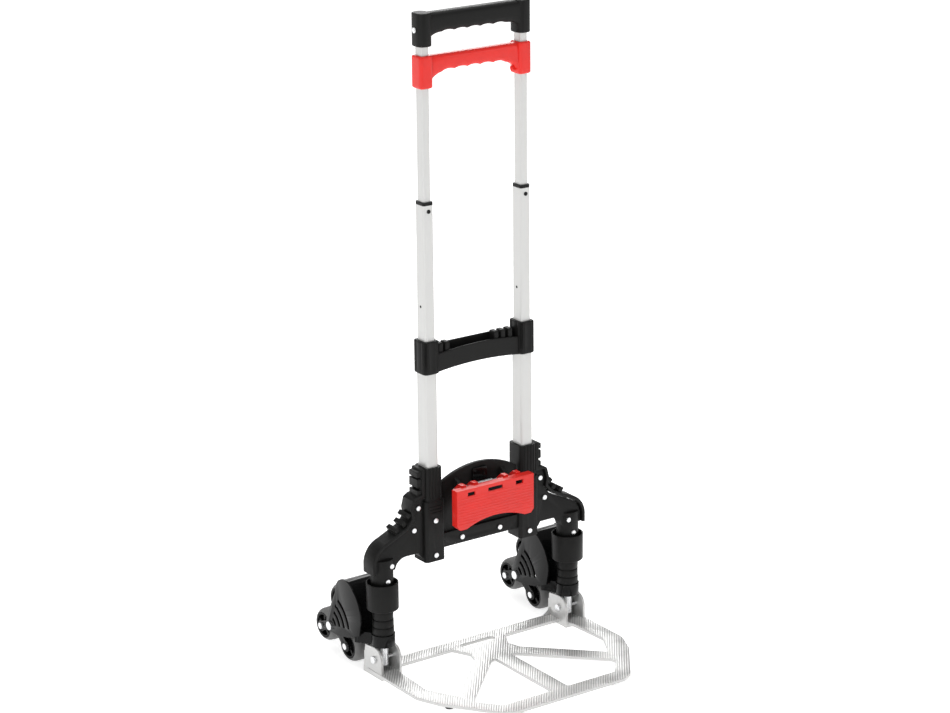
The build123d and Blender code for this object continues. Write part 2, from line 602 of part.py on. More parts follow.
# ------------------------------------------------------------------ toe plate with its two clevis brackets
OUTLINE = ((200.0, 24.0), (200.0, -122.0), (183.0, -162.0), (124.0, -243.0), (104.0, -254.0))
WINDOW_A = ((52.0, -3.0), (163.0, -3.0), (168.0, -36.0), (172.0, -108.0), (146.0, -157.0), (44.0, -57.0),
            (37.0, -34.0))
WINDOW_B = ((15.0, -70.0), (24.0, -74.0), (133.0, -182.0), (134.0, -192.0), (107.0, -224.0), (15.0, -224.0))
with BuildPart() as toe_plate:
    with BuildSketch(level(PLATE_TOP - PLATE_T)) as plan:
        with BuildLine():
            right = list(OUTLINE)
            left = [(-x, y) for x, y in reversed(OUTLINE)]
            Polyline(*right, *left, close=True)
        make_face()
        fillet(plan.vertices(), 9.0)
    extrude(amount=PLATE_T)
    for s in (-1, 1):
        for window in (WINDOW_A, WINDOW_B):
            with BuildSketch(level(PLATE_TOP - PLATE_T)) as hole:
                with BuildLine():
                    Polyline(*[(s * x, y) for x, y in window], close=True)
                make_face()
                fillet(hole.vertices(), 3.5)
            extrude(amount=PLATE_T, mode=Mode.SUBTRACT)
    with BuildSketch(level(PLATE_TOP - PLATE_T)):
        with Locations((0, -1.5)):
            RectangleRounded(64.0, 13.0, 5.0)
    extrude(amount=PLATE_T, mode=Mode.SUBTRACT)
    # clevis cheeks: rounded above the pivot, square towards the rear
    for s in (-1, 1):
        for x in (s * POST_X - EAR_X, s * POST_X + EAR_X - EAR_T):
            with BuildSketch(side(x)):
                with BuildLine():
                    Polyline((PIVOT_Y, PIVOT_Z + EAR_R), (PIVOT_Y + 26.0, PIVOT_Z + EAR_R - 2.5), (PIVOT_Y + 32.0, 0.0),
                             (PIVOT_Y - EAR_R, 0.0), (PIVOT_Y - EAR_R, PIVOT_Z))
                    ThreePointArc((PIVOT_Y - EAR_R, PIVOT_Z),
                                  (PIVOT_Y - EAR_R * cos(radians(45)), PIVOT_Z + EAR_R * sin(radians(45))),
                                  (PIVOT_Y, PIVOT_Z + EAR_R))
                make_face()
            extrude(amount=EAR_T)
        # foot of the bracket and its rear wall
        with BuildSketch(level(0.0)):
            with Locations((s * POST_X, PIVOT_Y + 5.7)):
                Rectangle(2 * EAR_X, 52.6)
        extrude(amount=PLATE_TOP)
        with BuildSketch(level(0.0)):
            with Locations((s * POST_X, PIVOT_Y + 27.0)):
                Rectangle(2 * EAR_X, 4.0)
        extrude(amount=36.0)
        # low gusset running from the bracket into the rear bar
        with BuildSketch(front(24.0)):
            with BuildLine():
                Polyline((s * (POST_X - EAR_X + 1), PLATE_TOP - 1), (s * (POST_X - EAR_X + 1), 27.0))
                ThreePointArc((s * (POST_X - EAR_X + 1), 27.0), (s * (POST_X - EAR_X - 7), 14.0),
                              (s * (POST_X - EAR_X - 24), PLATE_TOP - 1))
                Line((s * (POST_X - EAR_X - 24), PLATE_TOP - 1), (s * (POST_X - EAR_X + 1), PLATE_TOP - 1))
            make_face()
        extrude(amount=4.0)
        # pivot holes through both cheeks
        with BuildSketch(side(s * POST_X - EAR_X)):
            with Locations((PIVOT_Y, PIVOT_Z)):
                Circle(BOLT_R)
        extrude(amount=2 * EAR_X, mode=Mode.SUBTRACT)
        # pocket under the shaft so its end never meets the bracket foot
        with BuildSketch(side(s * POST_X - EAR_X + EAR_T)):
            with Locations((PIVOT_Y, PIVOT_Z)):
                Circle(22.4)
        extrude(amount=2 * (EAR_X - EAR_T), mode=Mode.SUBTRACT)
save(toe_plate, "toe_plate")

with BuildPart() as toe_feet:
    with BuildSketch(level(0.0)):
        with Locations((-168.0, -166.0), (168.0, -166.0), (-88.0, -240.0), (88.0, -240.0)):
            Circle(6.5)
    extrude(amount=PLATE_TOP - PLATE_T)
save(toe_feet, "toe_feet")

with BuildPart() as hinge_bolts:
    for s in (-1, 1):
        with BuildSketch(side(s * POST_X - EAR_X - 3.0)):
            with Locations((PIVOT_Y, PIVOT_Z)):
                Circle(BOLT_R)
        extrude(amount=2 * EAR_X + 6.0)
        with BuildSketch(side(s * POST_X - EAR_X - 3.4)):
            with Locations((PIVOT_Y, PIVOT_Z)):
                Circle(6.0)
        extrude(amount=3.4)
        with BuildSketch(side(s * POST_X + EAR_X)):
            with Locations((PIVOT_Y, PIVOT_Z)):
                RegularPolygon(5.6, 6)
        extrude(amount=3.4)
save(hinge_bolts, "hinge_bolts")

# ------------------------------------------------------------------ wheel carriers with their fenders
FENDER_BACK = ((106.0, 44.0), (115.0, 50.0), (117.0, 62.0), (103.0, 90.5), (89.0, 117.0), (86.0, 130.0))
FENDER_LOW = ((15.3, 84.0), (19.4, 65.0), (53.6, 51.0), (83.5, 45.0), (106.0, 44.0))
FENDER_SLOTS = ((14.5, 118.0, 162.0), (27.0, 114.0, 165.0), (40.5, 112.0, 167.0), (54.5, 116.0, 167.0))
SLOT_W = 5.5
for s, name in ((-1, "left"), (1, "right")):
    cx = s * CLUSTER_X
    with BuildPart() as fender:
        for x in (cx - FENDER_OUT, cx + FENDER_IN):
            with BuildSketch(side(x)):
                with BuildLine():
                    Polyline(*FENDER_BACK)
                    ThreePointArc((86.0, 130.0), (74.0, 143.5), (54.0, 146.0))
                    ThreePointArc((54.0, 146.0), (26.5, 126.0), (15.3, 84.0))
                    Polyline(*FENDER_LOW)
                make_face()
            extrude(amount=FENDER_OUT - FENDER_IN)
            # four curved slots fanning out from the axle
            with BuildSketch(side(x)):
                for r, a0, a1 in FENDER_SLOTS:
                    with BuildLine():
                        inner = CenterArc((AXLE_Y, AXLE_Z), r, a0, a1 - a0)
                        outer = CenterArc((AXLE_Y, AXLE_Z), r + SLOT_W, a0, a1 - a0)
                        Line(inner @ 0, outer @ 0)
                        Line(inner @ 1, outer @ 1)
                    make_face()
            extrude(amount=FENDER_OUT - FENDER_IN, mode=Mode.SUBTRACT)
        # curved web over and in front of the wheels
        with BuildSketch(side(cx - FENDER_IN)):
            with BuildLine():
                ThreePointArc((82.0, 137.0), (69.0, 144.0), (54.0, 145.0))
                ThreePointArc((54.0, 145.0), (35.0, 127.0), (28.6, 100.0))
                Polyline((28.6, 100.0), (27.6, 70.0), (27.6, 54.0), (30.6, 54.0), (30.6, 70.0), (31.6, 100.0))
                ThreePointArc((31.6, 100.0), (37.8, 125.4), (55.2, 142.0))
                ThreePointArc((55.2, 142.0), (68.5, 141.0), (81.0, 134.2))
                Line((81.0, 134.2), (82.0, 137.0))
            make_face()
        extrude(amount=2 * FENDER_IN)
        # arm to the ring, and the ring itself
        with BuildSketch(level(RING_Z0)):
            with BuildLine():
                Polyline((s * POST_X - 14.0, 8.0), (s * POST_X + 14.0, 8.0), (cx + FENDER_OUT, 33.0),
                         (cx - FENDER_OUT, 33.0), close=True)
            make_face()
        extrude(amount=RING_Z1 - RING_Z0)
        with BuildSketch(level(RING_Z0)):
            with Locations((s * POST_X, 0)):
                Circle(RING_R)
        extrude(amount=RING_Z1 - RING_Z0)
        with BuildSketch(level(RING_Z0)):
            with Locations((s * POST_X, 0)):
                Circle(SHAFT_R + RUN_FIT)
        extrude(amount=RING_Z1 - RING_Z0, mode=Mode.SUBTRACT)
        # axle holes through both cheeks
        with BuildSketch(side(cx - FENDER_OUT)):
            with Locations((AXLE_Y, AXLE_Z)):
                Circle(AXLE_R)
        extrude(amount=2 * FENDER_OUT, mode=Mode.SUBTRACT)
    save(fender, name + "_fender")

    with BuildPart() as axle:
        with BuildSketch(side(cx - FENDER_OUT - 0.5)):
            with Locations((AXLE_Y, AXLE_Z)):
                Circle(AXLE_R)
        extrude(amount=2 * FENDER_OUT + 1.0)
        for x in (cx - FENDER_OUT - 3.2, cx + FENDER_OUT):
            with BuildSketch(side(x)):
                with Locations((AXLE_Y, AXLE_Z)):
                    Circle(7.0)
            extrude(amount=3.2)
    save(axle, name + "_axle")

    with BuildPart() as star:
        for x in (cx - CARRIER_OUT, cx + CARRIER_IN):
            with BuildSketch(side(x)):
                with Locations((AXLE_Y, AXLE_Z)):
                    Circle(15.0)
                    with PolarLocations(STAR_R, 3, STAR_TILT, 360):
                        Circle(9.0)
                    with PolarLocations(STAR_R / 2, 3, STAR_TILT, 360):
                        Rectangle(STAR_R, 15.0)
                    Circle(AXLE_R + RUN_FIT, mode=Mode.SUBTRACT)
                    with PolarLocations(STAR_R, 3, STAR_TILT, 360):
                        Circle(WHEEL_PIN_R, mode=Mode.SUBTRACT)
            extrude(amount=CARRIER_OUT - CARRIER_IN)
    save(star, name + "_star_plates")

    with BuildPart() as star_hub:
        with BuildSketch(side(cx - CARRIER_IN)):
            with Locations((AXLE_Y, AXLE_Z)):
                Circle(9.0)
                Circle(AXLE_R + RUN_FIT, mode=Mode.SUBTRACT)
        extrude(amount=2 * CARRIER_IN)
    save(star_hub, name + "_star_hub")

    with BuildPart() as wheel_pins:
        for k in range(3):
            a = radians(STAR_TILT + 120.0 * k)
            spot = (AXLE_Y + STAR_R * cos(a), AXLE_Z + STAR_R * sin(a))
            with BuildSketch(side(cx - CARRIER_OUT)):
                with Locations(spot):
                    Circle(WHEEL_PIN_R)
            extrude(amount=2 * CARRIER_OUT)
            for x in (cx - CARRIER_OUT - 2.6, cx + CARRIER_OUT):
                with BuildSketch(side(x)):
                    with Locations(spot):
                        Circle(5.2)
                extrude(amount=2.6)
    save(wheel_pins, name + "_wheel_pins")

    for k in range(3):
        a = radians(STAR_TILT + 120.0 * k)
        spot = (AXLE_Y + STAR_R * cos(a), AXLE_Z + STAR_R * sin(a))
        with BuildPart() as tyre:
            with BuildSketch(side(cx - TYRE_W / 2)):
                with Locations(spot):
                    Circle(TYRE_R)
                    Circle(TYRE_IN_R, mode=Mode.SUBTRACT)
            extrude(amount=TYRE_W)
            fillet(tyre.edges().filter_by(GeomType.CIRCLE).sort_by(SortBy.RADIUS)[-2:], 6.0)
        save(tyre, name + "_tyre_" + str(k + 1))
        with BuildPart() as hub:
            with BuildSketch(side(cx - HUB_W / 2)):
                with Locations(spot):
                    Circle(TYRE_IN_R)
                    Circle(TYRE_IN_R - 2.5, mode=Mode.SUBTRACT)
            extrude(amount=HUB_W)
            with BuildSketch(side(cx - HUB_W / 2 - 1.0)):
                with Locations(spot):
                    Circle(8.0)
            extrude(amount=HUB_W + 2.0)
            with BuildSketch(side(cx - HUB_W / 2 + 2.0)):
                with Locations(spot):
                    with PolarLocations((TYRE_IN_R - 2.0) / 2, 5, 90.0):
                        Rectangle(TYRE_IN_R - 2.0, 4.0)
            extrude(amount=HUB_W - 4.0)
            with BuildSketch(side(cx - HUB_W / 2 - 1.0)):
                with Locations(spot):
                    Circle(WHEEL_PIN_R + RUN_FIT)
            extrude(amount=HUB_W + 2.0, mode=Mode.SUBTRACT)
        save(hub, name + "_hub_" + str(k + 1))
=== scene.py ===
import json
from math import cos, pi, radians, sin

import bmesh
import bpy
import numpy as np
from mathutils import Matrix, Vector


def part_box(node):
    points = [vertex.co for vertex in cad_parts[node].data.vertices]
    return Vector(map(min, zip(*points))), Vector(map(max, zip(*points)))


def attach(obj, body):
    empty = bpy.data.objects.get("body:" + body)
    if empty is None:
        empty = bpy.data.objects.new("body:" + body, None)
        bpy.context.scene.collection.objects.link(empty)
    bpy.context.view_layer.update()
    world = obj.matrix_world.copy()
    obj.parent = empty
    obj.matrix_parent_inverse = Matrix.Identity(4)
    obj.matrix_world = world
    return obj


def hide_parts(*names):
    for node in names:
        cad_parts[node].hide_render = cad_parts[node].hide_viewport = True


bl_info = {
    "name": "Folding hand truck",
    "version": (1, 0, 0),
    "blender": (4, 5, 0),
    "location": "3D View > Sidebar > Hand truck",
    "description": "Builds the finished skin of a folding hand truck round its packed frame",
    "category": "Add Mesh",
}

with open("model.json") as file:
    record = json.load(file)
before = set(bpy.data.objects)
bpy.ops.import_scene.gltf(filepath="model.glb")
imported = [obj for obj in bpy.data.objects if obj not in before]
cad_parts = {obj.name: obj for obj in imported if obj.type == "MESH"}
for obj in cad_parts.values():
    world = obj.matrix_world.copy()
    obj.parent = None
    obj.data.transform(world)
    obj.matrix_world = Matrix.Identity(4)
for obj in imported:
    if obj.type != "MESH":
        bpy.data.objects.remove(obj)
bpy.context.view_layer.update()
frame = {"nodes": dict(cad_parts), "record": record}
SIDES = (("left", -1.0), ("right", 1.0))


def middle(node):
    """Centre of one frame node's box, in metres."""
    low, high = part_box(node)
    return (low + high) / 2.0


def extent(node):
    """Size of one frame node's box, in metres."""
    low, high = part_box(node)
    return high - low


POST = middle("right_post_shaft")
TUBE = middle("right_outer_tube")
AXLE = middle("right_axle")


# ------------------------------------------------------------------ settings shown in the sidebar
class TruckSizes(bpy.types.PropertyGroup):
    """Sizes of the finished details."""

    edge: bpy.props.FloatProperty(
        name="Moulded edge", description="Radius on the moulded pieces' edges", default=0.0011,
        min=0.0002, max=0.003, subtype="DISTANCE", unit="LENGTH")
    metal_edge: bpy.props.FloatProperty(
        name="Metal edge", description="Radius on the cast and turned metal edges", default=0.0006,
        min=0.0001, max=0.003, subtype="DISTANCE", unit="LENGTH")
    tread_depth: bpy.props.FloatProperty(
        name="Tread groove", description="Depth of the grooves round each tyre", default=0.0007,
        min=0.0, max=0.002, subtype="DISTANCE", unit="LENGTH")
    wave_height: bpy.props.FloatProperty(
        name="Finger wave", description="Depth of the finger waves under both grips", default=0.0022,
        min=0.0, max=0.008, subtype="DISTANCE", unit="LENGTH")
    wave_pitch: bpy.props.FloatProperty(
        name="Wave pitch", description="Distance from one finger wave to the next", default=0.0235,
        min=0.015, max=0.035, subtype="DISTANCE", unit="LENGTH")
    camera_turn: bpy.props.FloatProperty(
        name="Camera turn", description="Camera's turn about the upright axis", default=radians(-34.58),
        subtype="ANGLE", unit="ROTATION")
    camera_rise: bpy.props.FloatProperty(
        name="Camera rise", description="Camera's angle above the floor", default=radians(17.79),
        subtype="ANGLE", unit="ROTATION")
    camera_roll: bpy.props.FloatProperty(
        name="Camera roll", description="Camera's roll about its own axis", default=radians(-0.566),
        subtype="ANGLE", unit="ROTATION")


def colour(name, description, default):
    """One colour setting."""
    return bpy.props.FloatVectorProperty(
        name=name, description=description, default=default, size=3, min=0.0, max=1.0, subtype="COLOR")


class TruckColours(bpy.types.PropertyGroup):
    """Colours of the finishes."""

    black: colour("Moulded black", "Matt moulded plastic", (0.0075, 0.0075, 0.0072))
    gloss: colour("Gloss black", "Smooth plastic of the fenders", (0.0045, 0.0047, 0.0047))
    red: colour("Red", "Release grip and catch", (0.74, 0.022, 0.016))
    tube: colour("Tube", "Satin anodised tubes", (0.60, 0.60, 0.59))
    plate: colour("Plate", "Cast toe plate", (0.76, 0.76, 0.75))
    zinc: colour("Zinc", "Rivets, bolts and shafts", (0.80, 0.81, 0.82))
    tyre: colour("Tyre", "Grey rubber", (0.15, 0.15, 0.148))
    floor: colour("Floor", "Studio floor", (0.93, 0.93, 0.93))


def sizes():
    """The sizes set in the sidebar."""
    return bpy.context.scene.truck_sizes


def colours():
    """The colours set in the sidebar."""
    return bpy.context.scene.truck_colours


# ------------------------------------------------------------------ shader expressions
class Sock:
    """One output socket that can be used in arithmetic; each operation adds a Math node."""

    def __init__(self, shader, socket):
        self.shader = shader
        self.socket = socket

    def _math(self, operation, *values):
        return self.shader.node("ShaderNodeMath", {"operation": operation}, values)

    def __add__(self, other):
        return self._math("ADD", self, other)

    __radd__ = __add__

    def __sub__(self, other):
        return self._math("SUBTRACT", self, other)

    def __rsub__(self, other):
        return self._math("SUBTRACT", other, self)

    def __mul__(self, other):
        return self._math("MULTIPLY", self, other)

    __rmul__ = __mul__

    def __truediv__(self, other):
        return self._math("DIVIDE", self, other)

    def __pow__(self, other):
        return self._math("POWER", self, other)

    def above(self, level):
        return self._math("GREATER_THAN", self, level)

    def wave(self):
        return self._math("SINE", self)

    def clipped(self):
        return self.shader.node("ShaderNodeClamp", {}, (self, 0.0, 1.0))


class Shader:
    """A material under construction: one Principled surface and the nodes that feed it."""

    def __init__(self, name, **fixed):
        self.material = bpy.data.materials.new(name)
        self.material.use_nodes = True
        self.tree = self.material.node_tree
        self.surface = next(n for n in self.tree.nodes if n.type == "BSDF_PRINCIPLED")
        for key, value in fixed.items():
            self.surface.inputs[key.replace("_", " ")].default_value = value
        coords = self.tree.nodes.new("ShaderNodeTexCoord")
        self.place = Sock(self, coords.outputs["Object"])

    def node(self, kind, settings, inputs=(), output=0):
        """Adds one node: its settings first, then its sockets' values or links."""
        made = self.tree.nodes.new(kind)
        for key, value in settings.items():
            setattr(made, key, value)
        pairs = inputs.items() if isinstance(inputs, dict) else enumerate(inputs)
        for key, value in pairs:
            if isinstance(value, Sock):
                self.tree.links.new(value.socket, made.inputs[key])
            else:
                made.inputs[key].default_value = value
        return Sock(self, made.outputs[output])

    def noise(self, scale, detail=3.0, stretch=(1.0, 1.0, 1.0), roughness=0.55):
        """Value noise over the object's own space, stretched along its axes."""
        spot = self.node("ShaderNodeMapping", {}, {"Vector": self.place, "Scale": stretch})
        return self.node("ShaderNodeTexNoise", {},
                         {"Vector": spot, "Scale": scale, "Detail": detail, "Roughness": roughness})

    def axes(self):
        """The object's X, Y and Z as three values, in metres."""
        first = self.node("ShaderNodeSeparateXYZ", {}, (self.place,))
        return [Sock(self, out) for out in first.socket.node.outputs]

    def mix(self, factor, first, second):
        """Colour mix."""
        def rgba(value):
            return value if isinstance(value, Sock) else (*value, 1.0)
        inputs = {0: factor, 6: rgba(first), 7: rgba(second)}
        return self.node("ShaderNodeMix", {"data_type": "RGBA"}, inputs, 2)

    def bump(self, height, distance, strength=1.0):
        normal = self.node("ShaderNodeBump", {},
                           {"Height": height, "Distance": distance, "Strength": strength})
        self.feed("Normal", normal)

    def feed(self, socket, value):
        if isinstance(value, Sock):
            self.tree.links.new(value.socket, self.surface.inputs[socket])
        else:
            self.surface.inputs[socket].default_value = value


def shade(base, factor):
    """A colour made lighter or darker."""
    return tuple(min(1.0, c * factor) for c in base)


def moulded(name, base, rough, grain, depth, coat=0.0, shine=0.17):
    """Moulded plastic: fine spark-eroded grain, cloudy gloss and slight scuffs."""
    m = Shader(name, Specular_IOR_Level=shine, Coat_Weight=coat, Coat_Roughness=0.08)
    cloud = m.noise(28.0, 4.0)
    fine = m.noise(grain, 2.0)
    scuff = m.noise(420.0, 5.0, (1.0, 1.0, 0.12))
    rub = ((scuff - 0.62) * 6.0).clipped()
    tone = (cloud * 0.6 + rub * 0.35).clipped()
    m.feed("Base Color", m.mix(tone, shade(base, 0.86), shade(base, 1.32)))
    m.feed("Roughness", (cloud - 0.5) * 0.22 + rub * 0.1 + rough)
    m.bump(fine + scuff * 0.3, depth)
    return m.material


def anodised(name, base):
    """Drawn and anodised tube: fine lines along its length and a satin sheen."""
    m = Shader(name, Metallic=0.45, Specular_IOR_Level=0.5)
    lines = m.noise(900.0, 3.0, (1.0, 1.0, 0.012))
    cloud = m.noise(11.0, 3.0)
    speck = m.noise(700.0, 4.0)
    mark = ((speck - 0.7) * 9.0).clipped()
    tone = (lines * 0.5 + cloud * 0.5 + mark * 0.3).clipped()
    m.feed("Base Color", m.mix(tone, shade(base, 0.93), shade(base, 1.08)))
    m.feed("Roughness", lines * 0.16 + (cloud - 0.5) * 0.10 + 0.30)
    m.bump(lines, 0.00006)
    return m.material


def cast_plate(name, base):
    """Die-cast platform: fine diagonal ribs on faces that look up; the sides get a darker flat tone, which is
    painted shade.
    """
    m = Shader(name, Metallic=0.55, Specular_IOR_Level=0.55)
    x, y, _ = m.axes()
    normal = m.node("ShaderNodeNewGeometry", {}, (), "True Normal")
    up = m.node("ShaderNodeSeparateXYZ", {}, (normal,), 2).above(0.9)
    lean = (x * 0.8 - y * 0.6) * (2.0 * pi / 0.0038)
    ribs = lean.wave() * 0.5 + 0.5
    cross = ((x * 0.6 + y * 0.8) * (2.0 * pi / 0.0023)).wave() * 0.5 + 0.5
    cloud = m.noise(13.0, 4.0)
    wear = m.noise(240.0, 5.0)
    shiny = ((wear - 0.5) * 3.0).clipped()
    patch = ((cloud - 0.50) * 5.0).clipped()
    # Painted shade: faces that do not look up take a flat tone, darker than the ribbed tops.
    tone = (up * (ribs * 0.62 + cross * 0.12 - patch * 0.45 + 0.35) + (1.0 - up) * 0.30 + wear * 0.12).clipped()
    m.feed("Base Color", m.mix(tone, shade(base, 0.46), shade(base, 1.28)))
    m.feed("Roughness", cloud * 0.18 + shiny * 0.10 + 0.22)
    m.bump(up * (ribs + cross * 0.25) * 0.5 + wear * 0.10, 0.0006)
    return m.material


def zinc(name, base, rough=0.24):
    """Plated steel: bright, with faint turning marks and small dull spots."""
    m = Shader(name, Metallic=0.95)
    swirl = m.noise(340.0, 4.0, (1.0, 1.0, 0.4))
    cloud = m.noise(60.0, 3.0)
    m.feed("Base Color", m.mix(cloud, shade(base, 0.86), shade(base, 1.12)))
    m.feed("Roughness", swirl * 0.22 + cloud * 0.08 + rough - 0.1)
    m.bump(swirl, 0.00005)
    return m.material


def rubber(name, base):
    """Grey tyre rubber: dusty, matt, with fine pores and moulding haze."""
    m = Shader(name, Specular_IOR_Level=0.35)
    dust = m.noise(70.0, 5.0)
    pores = m.noise(1500.0, 2.0)
    tone = (dust * 0.8 + pores * 0.2).clipped()
    m.feed("Base Color", m.mix(tone, shade(base, 0.82), shade(base, 1.22)))
    m.feed("Roughness", dust * 0.22 + 0.52)
    m.bump(pores, 0.00012)
    return m.material


def finishes():
    """Makes every finish and returns them by the record's slot names."""
    c = colours()
    return {
        "black": moulded("finish_moulded_black", tuple(c.black), 0.46, 1700.0, 0.00010),
        "gloss_black": moulded("finish_gloss_black", tuple(c.gloss), 0.16, 900.0, 0.00003, 0.1, 0.11),
        "red": moulded("finish_red", tuple(c.red), 0.36, 1500.0, 0.00004, 0.15, 0.3),
        "tube": anodised("finish_tube", tuple(c.tube)),
        "plate": cast_plate("finish_plate", tuple(c.plate)),
        "steel": zinc("finish_zinc", tuple(c.zinc)),
        "hub": moulded("finish_hub", shade(tuple(c.gloss), 0.7), 0.4, 1300.0, 0.00006),
        "tyre": rubber("finish_tyre", tuple(c.tyre)),
        "rubber": rubber("finish_foot", shade(tuple(c.tyre), 0.4)),
    }


def slot_of(node):
    """The record's material slot of one frame node."""
    return next(p["material_slot"] for p in frame["record"]["subparts"] if p["node"] == node)


def body_of(node):
    """The frame body that carries one node."""
    groups = frame["record"]["behaviour"]["bodies"]
    return next(body for body, members in groups.items() if node in members)


def finish_named(slot):
    """The finish made for a slot; the finishes are made on the first call."""
    if "finish_zinc" not in bpy.data.materials:
        finishes()
    names = {"black": "finish_moulded_black", "gloss_black": "finish_gloss_black", "red": "finish_red",
             "tube": "finish_tube", "plate": "finish_plate", "steel": "finish_zinc", "hub": "finish_hub",
             "tyre": "finish_tyre", "rubber": "finish_foot"}
    return bpy.data.materials[names[slot]]


# ------------------------------------------------------------------ mesh building
def grid_faces(rows, columns, close_rows, close_columns):
    """Quads of a rows x columns grid of points, wrapped round where a direction is closed."""
    r = np.arange(rows if close_rows else rows - 1)
    c = np.arange(columns if close_columns else columns - 1)
    rr, cc = np.meshgrid(r, c, indexing="ij")
    r2 = (rr + 1) % rows
    c2 = (cc + 1) % columns
    quads = np.stack([rr * columns + cc, r2 * columns + cc, r2 * columns + c2, rr * columns + c2], -1)
    return quads.reshape(-1, 4)


def skin(name, points, close_rows=False, close_columns=True, caps=False, smooth=40.0):
    """A mesh object from a grid of points; caps close the first and last rows with one face each."""
    rows, columns = points.shape[:2]
    faces = [tuple(q) for q in grid_faces(rows, columns, close_rows, close_columns).tolist()]
    if caps:
        faces.append(tuple(range(columns)))
        faces.append(tuple(range((rows - 1) * columns, rows * columns))[::-1])
    mesh = bpy.data.meshes.new(name)
    mesh.from_pydata(points.reshape(-1, 3).tolist(), [], faces)
    return settle(name, mesh, smooth)


def settle(name, mesh, smooth=40.0):
    """Merges doubled points, turns all faces outwards, shades smooth up to an angle, links the object."""
    bm = bmesh.new()
    bm.from_mesh(mesh)
    bmesh.ops.remove_doubles(bm, verts=bm.verts, dist=1e-6)
    bmesh.ops.recalc_face_normals(bm, faces=bm.faces)
    for edge in bm.edges:
        sharp = len(edge.link_faces) == 2 and edge.calc_face_angle(0.0) > radians(smooth)
        edge.smooth = not sharp
    for face in bm.faces:
        face.smooth = True
    bm.to_mesh(mesh)
    bm.free()
    made = bpy.data.objects.new(name, mesh)
    bpy.context.scene.collection.objects.link(made)
    return made


def place(piece, body, slot, *nodes):
    """Gives a piece its finish and its body, and hides the frame nodes it stands for."""
    piece.data.materials.clear()
    piece.data.materials.append(finish_named(slot))
    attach(piece, body)
    if nodes:
        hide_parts(*nodes)
    return piece


def rounded_copy(node, name, width, segments=3, angle=28.0):
    """A copy of a frame node with its loose triangles merged, flats joined and its edges rounded."""
    mesh = frame["nodes"][node].data.copy()
    mesh.name = name
    bm = bmesh.new()
    bm.from_mesh(mesh)
    bmesh.ops.remove_doubles(bm, verts=bm.verts, dist=2e-6)
    bmesh.ops.dissolve_limit(bm, angle_limit=radians(1.0), verts=bm.verts, edges=bm.edges)
    for face in bm.faces:
        face.smooth = True
    for edge in bm.edges:
        edge.smooth = True
    bm.to_mesh(mesh)
    bm.free()
    made = bpy.data.objects.new(name, mesh)
    bpy.context.scene.collection.objects.link(made)
    bevel = made.modifiers.new("edge", "BEVEL")
    bevel.width = width
    bevel.segments = segments
    bevel.limit_method = "ANGLE"
    bevel.angle_limit = radians(angle)
    bevel.harden_normals = True
    bevel.use_clamp_overlap = True
    return place(made, body_of(node), slot_of(node), node)


class Maker(bpy.types.Operator):
    """Shared base of the truck's makers."""

    bl_options = {"REGISTER", "UNDO"}


CLIP_SPOTS = (-0.0685, -0.0565, 0.036, 0.049, 0.0625)
RIB_PITCH = 0.0046
LENS, SENSOR = 109.0, 36.0
CAMERA_OFFSET = Vector((-2.4276, -3.5225, 1.8647))


# ------------------------------------------------------------------ one operator per piece or group
class TRUCK_OT_moulded_base(Maker):
    """The black moulded base with its guards, collars, sleeves, panel and release tab."""

    bl_idname = "truck.moulded_base"
    bl_label = "Moulded base"

    def execute(self, context):
        nodes = ["base_frame", "back_panel", "release_tab"]
        for name, _ in SIDES:
            nodes += [name + "_guard", name + "_collar", name + "_step_sleeve"]
        for node in nodes:
            rounded_copy(node, "skin_" + node, sizes().edge)
        return {"FINISHED"}


class TRUCK_OT_clamp(Maker):
    """The clamp that joins the tops of the outer tubes."""

    bl_idname = "truck.clamp"
    bl_label = "Middle clamp"

    def execute(self, context):
        """Two fluted sleeves, an arched front wall, a straight rear wall, a floor between them and clips."""
        low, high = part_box("mid_clamp")
        bore = extent("left_mid_tube")
        deep = high.y - low.y
        wide = 2 * (high.x - TUBE.x)
        top = high.z - 0.0045
        end = TUBE.x - wide * 0.35
        parts = []
        for _, s in SIDES:
            parts.append(sleeve("sleeve", (s * TUBE.x, POST.y), (wide, deep), (bore.x + 0.0008, bore.y + 0.0008),
                                low.z, top, 0.0016, 0.42, 26, 0.0009, 0.002))
        x = np.linspace(-end, end, 61)
        arch = 1.0 - (x / end) ** 2
        flat = np.ones_like(x)
        front = POST.y - 0.0115
        parts.append(wall("front", x, low.z - 0.0005 + 0.0055 * arch, low.z + 0.0285 + 0.006 * arch, front, 0.0032))
        parts.append(wall("rear", x, low.z + 0.006 * flat, low.z + 0.0405 * flat, POST.y + 0.008, 0.003))
        parts.append(wall("floor", x, low.z + 0.016 * flat, low.z + 0.019 * flat, front + 0.002, 0.018))
        for spot in CLIP_SPOTS:
            centre = (spot, POST.y - 0.001, low.z + 0.032)
            parts.append(soft_box("clip", centre, (0.0085, 0.015, 0.026), 0.2, 20, 40))
        place(joined("skin_mid_clamp", parts), "base", "black", "mid_clamp", "clamp_bushes")
        return {"FINISHED"}


